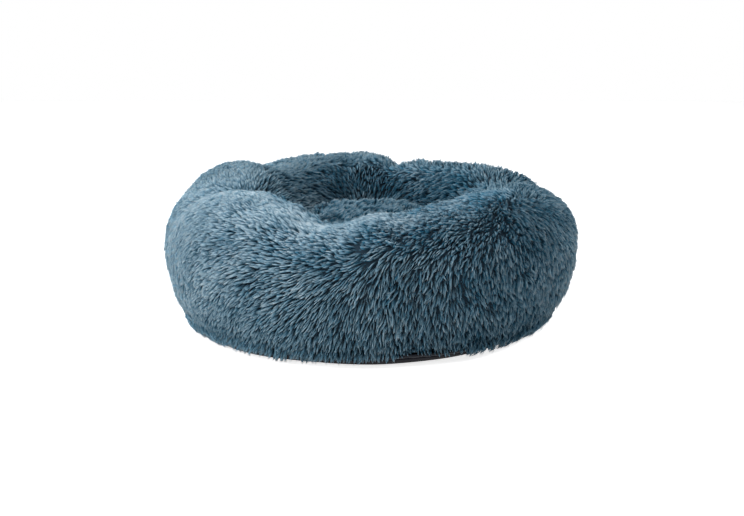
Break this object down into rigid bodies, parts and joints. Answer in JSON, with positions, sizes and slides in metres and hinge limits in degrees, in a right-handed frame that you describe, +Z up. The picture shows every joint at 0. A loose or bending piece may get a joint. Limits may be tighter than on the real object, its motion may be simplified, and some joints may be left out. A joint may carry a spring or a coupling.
{
  "type": "donut pet bed",
  "caption": "Round plush pet bed: a thick raised ring bolster round a soft overstuffed cushion, on a dark base cloth with a zip underneath.",
  "frame": {"origin": "on the floor at the middle of the bed", "axes": "+Z up, -Y the front, +X to the right; the zip underneath runs along X"},
  "size_m": [0.6099, 0.586, 0.2235],
  "materials": {
    "plush": "long soft pile",
    "lining": "plain nonwoven cloth",
    "fibre_fill": "loose polyester fibre",
    "binding": "plain woven tape",
    "base_cloth": "coated plain weave with raised grip dots",
    "zip_tape": "woven zip tape",
    "zip_plastic": "moulded, satin",
    "zip_metal": "dark lacquered die casting"
  },
  "bodies": {
    "bed": {"bolster_cover_right_front": "plush", "bolster_cover_right_rear": "plush", "bolster_cover_left_rear": "plush", "bolster_cover_left_front": "plush", "bolster_liner_top": "lining", "bolster_liner_bottom": "lining", "bolster_fill": "fibre_fill", "cushion_cover": "plush", "cushion_liner_top": "lining", "cushion_liner_bottom": "lining", "cushion_fill": "fibre_fill", "outer_seam_binding": "binding", "inner_seam_tape": "binding", "base_panel_front": "base_cloth", "base_panel_rear": "base_cloth", "zip_end_strip_left": "base_cloth", "zip_end_strip_right": "base_cloth", "zip_tape_front": "zip_tape", "zip_tape_rear": "zip_tape", "zip_teeth_front": "zip_plastic", "zip_teeth_rear": "zip_plastic", "zip_top_stop_front": "zip_plastic", "zip_top_stop_rear": "zip_plastic", "zip_bottom_stop": "zip_plastic"},
    "slider": {"zip_slider": "zip_metal"},
    "pull": {"zip_pull": "zip_metal"}
  },
  "joints": [
    {"name": "zip_travel", "type": "slide", "parent": "bed", "child": "slider", "axis": [-1, 0, 0], "range_m": [0, 0.248]},
    {"name": "pull_swing", "type": "hinge", "parent": "slider", "child": "pull", "pos_m": [0.124, 0, 0.00205], "axis": [0, -1, 0], "range_deg": [0, 150]}
  ]
}
